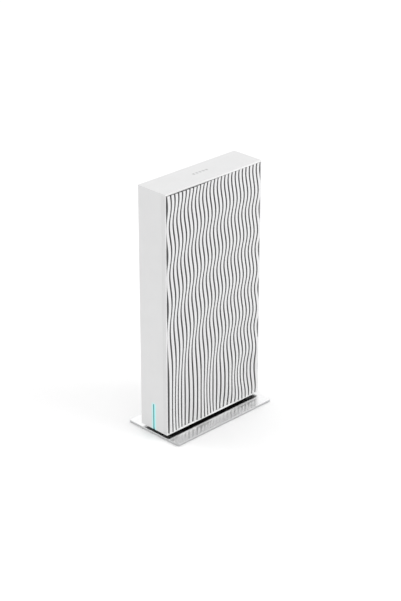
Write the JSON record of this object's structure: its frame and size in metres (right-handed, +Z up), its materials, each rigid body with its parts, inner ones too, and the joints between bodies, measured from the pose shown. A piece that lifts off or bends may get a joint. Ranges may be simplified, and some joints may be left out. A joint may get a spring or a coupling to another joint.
{
  "type": "wireless router",
  "caption": "Upright wireless router: slim body with a wave-ribbed vent grille and a light bar, sockets and press buttons on one edge, standing on a polished metal plate.",
  "frame": {"origin": "on the floor, under the middle of the foot plate", "axes": "+Z up, the wave grille faces -Y, the light bar faces -X, the sockets and buttons face +X"},
  "size_m": [0.124, 0.0666, 0.2448],
  "materials": {
    "shell_white": "fine satin texture",
    "grille_white": "smooth satin gloss",
    "mesh_dark": "woven dust mesh",
    "plastic_black": "fine matt texture",
    "plate_polished": "mirror polished",
    "rubber_grey": "soft matt",
    "screw_steel": "zinc plated",
    "light_teal": "clear light guide, lit cyan",
    "led_white": "small ceramic package",
    "board_green": "solder mask",
    "cable_white": "flat flexible cable",
    "chip_black": "moulded epoxy",
    "pad_grey": "soft silicone pad",
    "sink_aluminium": "extruded",
    "can_tin": "tinned",
    "capacitor_sleeve": "drawn can",
    "ferrite": "sintered",
    "socket_black": "moulded",
    "socket_shield": "stamped",
    "contact_gold": "gold plated",
    "usb_blue": "moulded",
    "panel_grey": "fine matt texture",
    "button_white": "satin",
    "button_black": "satin",
    "plunger_white": "moulded",
    "antenna_board": "solder mask",
    "lead_black": "thin coaxial jacket"
  },
  "bodies": {
    "root": {"antenna_leads": "lead_black", "antenna_plugs": "contact_gold", "antenna_side_high": "antenna_board", "antenna_side_low": "antenna_board", "antenna_top_left": "antenna_board", "antenna_top_right": "antenna_board", "base_plate": "plate_polished", "board_screws": "screw_steel", "bottom_tray": "plastic_black", "capacitors": "capacitor_sleeve", "dc_jack": "socket_black", "dc_pin": "contact_gold", "dust_mesh": "mesh_dark", "front_grille": "grille_white", "heatsink": "sink_aluminium", "heatsink_screws": "screw_steel", "housing": "shell_white", "inductors": "ferrite", "jack_contacts": "contact_gold", "jack_shields": "socket_shield", "lan_jack_1": "socket_black", "lan_jack_2": "socket_black", "lan_jack_3": "socket_black", "lan_transformers": "chip_black", "led_board": "board_green", "led_cable": "cable_white", "led_chips": "led_white", "light_guide": "light_teal", "main_board": "board_green", "memory_chip": "chip_black", "plinth": "plastic_black", "port_panel": "panel_grey", "power_switch": "socket_black", "processor": "chip_black", "radio_chip_1": "chip_black", "radio_chip_2": "chip_black", "reset_switch": "socket_black", "rubber_feet": "rubber_grey", "shield_can_1": "can_tin", "shield_can_2": "can_tin", "stand_screws": "screw_steel", "switch_chip": "chip_black", "thermal_pads": "pad_grey", "tray_screws": "screw_steel", "usb_socket": "socket_shield", "usb_tongue": "usb_blue", "wan_jack": "usb_blue", "wps_switch": "socket_black"},
    "power_button": {"power_button": "button_white", "power_plunger": "plunger_white"},
    "wps_button": {"wps_button": "button_white", "wps_plunger": "plunger_white"},
    "reset_button": {"reset_button": "button_black", "reset_plunger": "plunger_white"}
  },
  "joints": [
    {"name": "power_button_press", "type": "slide", "parent": "root", "child": "power_button", "axis": [-1, 0, 0], "range_m": [0, 0.002], "stiffness_N_per_m": 450},
    {"name": "wps_button_press", "type": "slide", "parent": "root", "child": "wps_button", "axis": [-1, 0, 0], "range_m": [0, 0.0008], "stiffness_N_per_m": 400},
    {"name": "reset_button_press", "type": "slide", "parent": "root", "child": "reset_button", "axis": [-1, 0, 0], "range_m": [0, 0.0005], "stiffness_N_per_m": 400}
  ]
}
